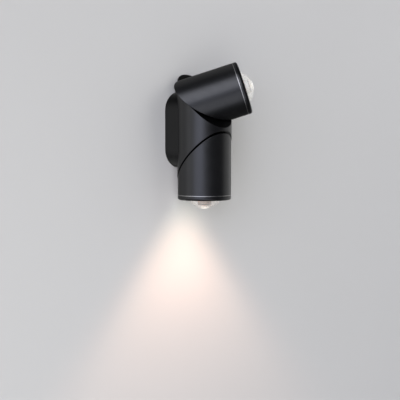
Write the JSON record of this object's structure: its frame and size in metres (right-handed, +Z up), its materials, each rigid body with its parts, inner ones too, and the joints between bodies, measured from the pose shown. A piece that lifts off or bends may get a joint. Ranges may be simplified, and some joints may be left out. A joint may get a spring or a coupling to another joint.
{
  "type": "pivoting spotlight wall light",
  "caption": "Wall light with an upright mitred tube on a rounded backplate and a domed-lens spotlight head turning on each 45 degree cut.",
  "frame": {"origin": "on the wall, at the middle of the backplate's back", "axes": "+Z up, +Y into the wall, the room is on -Y, +X to the right when facing the wall"},
  "size_m": [0.0751, 0.073, 0.1342],
  "materials": {
    "black_paint": "satin black coat on aluminium",
    "satin_ring": "satin turned",
    "steel": "zinc plated",
    "zinc_steel": "zinc plated sheet",
    "brass": "plain",
    "raw_aluminium": "as machined",
    "nylon": "matt",
    "board_white": "solder mask",
    "phosphor": "light source under silicone",
    "holder_plastic": "matt",
    "lens_glass": "clear, slightly milky",
    "optic_acrylic": "clear moulded acrylic",
    "silicone": "matt",
    "clear_silicone": "milky silicone",
    "lead_sleeve": "silicone sleeve",
    "driver_case": "moulded case",
    "terminal_plastic": "moulded"
  },
  "bodies": {
    "wall_unit": {"wall_bracket": "zinc_steel", "cable_grommet": "silicone", "backplate": "black_paint", "lock_screws": "steel", "body_screws": "steel", "earth_screw": "brass", "centre_body": "black_paint", "led_driver": "driver_case", "terminal_block": "terminal_plastic", "terminal_screws": "brass", "driver_leads": "lead_sleeve", "output_leads": "lead_sleeve", "stop_pins": "steel"},
    "upper_head": {"upper_head_shell": "black_paint", "upper_pivot_bolt": "steel", "upper_pivot_nut": "steel", "upper_thrust_washer": "steel", "upper_wave_spring": "steel", "upper_friction_washer": "nylon", "upper_heat_sink": "raw_aluminium", "upper_led_board": "board_white", "upper_board_screws": "steel", "upper_led_emitter": "phosphor", "upper_lens_holder": "holder_plastic", "upper_collimator": "optic_acrylic", "upper_lens": "lens_glass", "upper_lens_gasket": "clear_silicone", "upper_trim_ring": "satin_ring", "upper_bezel": "black_paint", "upper_lead": "lead_sleeve"},
    "lower_head": {"lower_head_shell": "black_paint", "lower_pivot_bolt": "steel", "lower_pivot_nut": "steel", "lower_thrust_washer": "steel", "lower_wave_spring": "steel", "lower_friction_washer": "nylon", "lower_heat_sink": "raw_aluminium", "lower_led_board": "board_white", "lower_board_screws": "steel", "lower_led_emitter": "phosphor", "lower_lens_holder": "holder_plastic", "lower_collimator": "optic_acrylic", "lower_lens": "lens_glass", "lower_lens_gasket": "clear_silicone", "lower_trim_ring": "satin_ring", "lower_bezel": "black_paint", "lower_lead": "lead_sleeve"}
  },
  "joints": [
    {"name": "upper_head_pivot", "type": "hinge", "parent": "wall_unit", "child": "upper_head", "pos_m": [0, -0.0293, 0.02695], "axis": [0, -0.7071, 0.7071], "range_deg": [-57.6, 282.4]},
    {"name": "lower_head_pivot", "type": "hinge", "parent": "wall_unit", "child": "lower_head", "pos_m": [0, -0.0293, -0.02555], "axis": [0, -0.7071, -0.7071], "range_deg": [-170, 170]}
  ]
}
